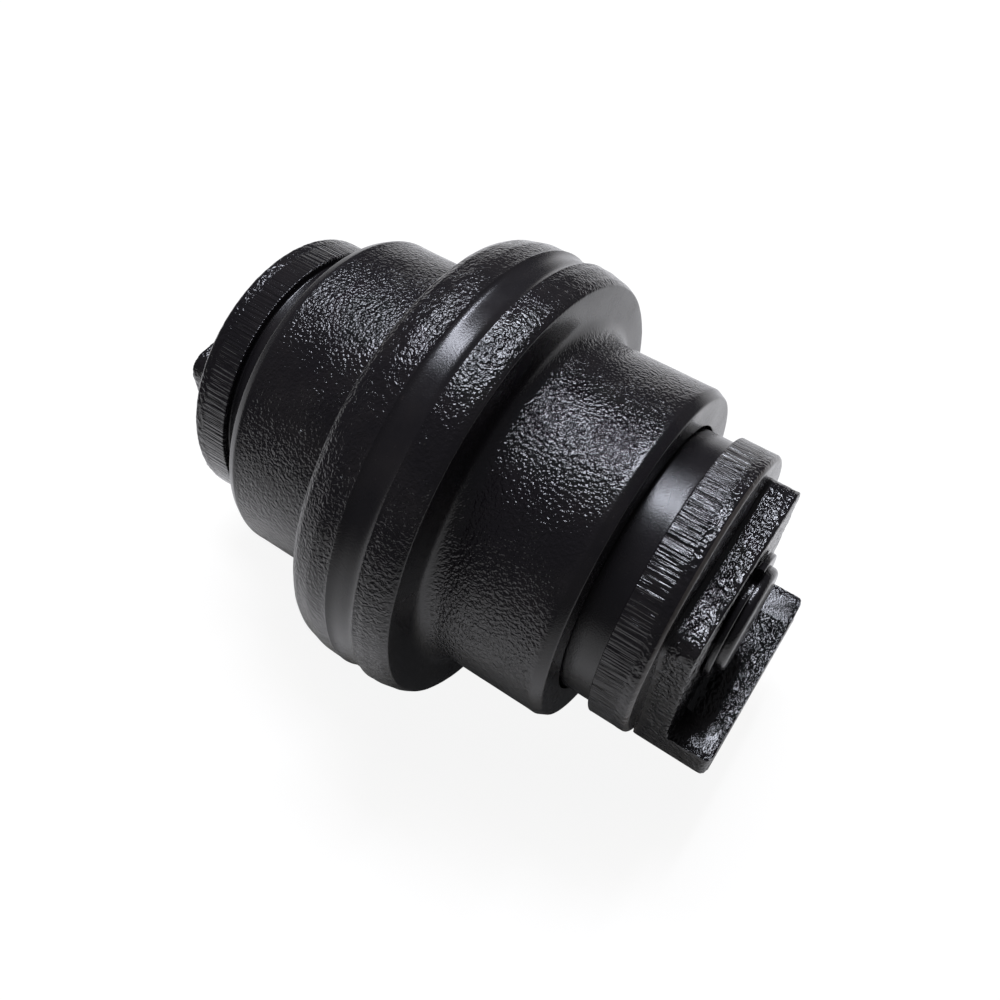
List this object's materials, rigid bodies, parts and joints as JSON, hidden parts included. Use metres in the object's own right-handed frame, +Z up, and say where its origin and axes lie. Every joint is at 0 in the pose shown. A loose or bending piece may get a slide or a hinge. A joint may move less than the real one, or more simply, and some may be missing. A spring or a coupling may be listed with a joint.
{
  "type": "track roller",
  "caption": "Centre-flange bottom track roller: forged shell turning on a fixed shaft between two end collars with bolt-on mounting feet.",
  "frame": {"origin": "on the roller axis at mid length, which is also the centre of the bounding box", "axes": "+Y along the roller axis to the right end, +Z up away from the mounting pads as the part lies on a bench, +X across"},
  "size_m": [0.145, 0.207, 0.145],
  "materials": {
    "shell_paint": "thick semi-gloss black paint over forged and turned steel",
    "collar_paint": "thick semi-gloss black paint over a rough forging",
    "ring_paint": "spring steel painted over in black",
    "shaft_steel": "ground and induction hardened, ends painted black",
    "bush_bronze": "machined bearing bronze",
    "pin_steel": "ground dowel",
    "seal_steel": "lapped hard alloy",
    "seal_rubber": "moulded nitrile rubber",
    "plug_steel": "zinc phosphate coated",
    "plug_copper": "soft annealed copper"
  },
  "bodies": {
    "frame_side": {"shaft": "shaft_steel", "collar_left": "collar_paint", "collar_right": "collar_paint", "lock_pin_left": "pin_steel", "lock_pin_right": "pin_steel", "retaining_ring_left": "ring_paint", "retaining_ring_right": "ring_paint", "fixed_seal_ring_left": "seal_steel", "fixed_seal_ring_right": "seal_steel", "fixed_toric_left": "seal_rubber", "fixed_toric_right": "seal_rubber", "shaft_oring_left": "seal_rubber", "shaft_oring_right": "seal_rubber", "oil_plug": "plug_steel", "oil_plug_seal": "plug_copper"},
    "roller": {"roller_shell": "shell_paint", "bush_left": "bush_bronze", "bush_right": "bush_bronze", "rotating_seal_ring_left": "seal_steel", "rotating_seal_ring_right": "seal_steel", "rotating_toric_left": "seal_rubber", "rotating_toric_right": "seal_rubber"}
  },
  "joints": [
    {"name": "roller_spin", "type": "hinge", "parent": "frame_side", "child": "roller", "pos_m": [0, 0, 0], "axis": [0, 1, 0], "continuous": true}
  ]
}
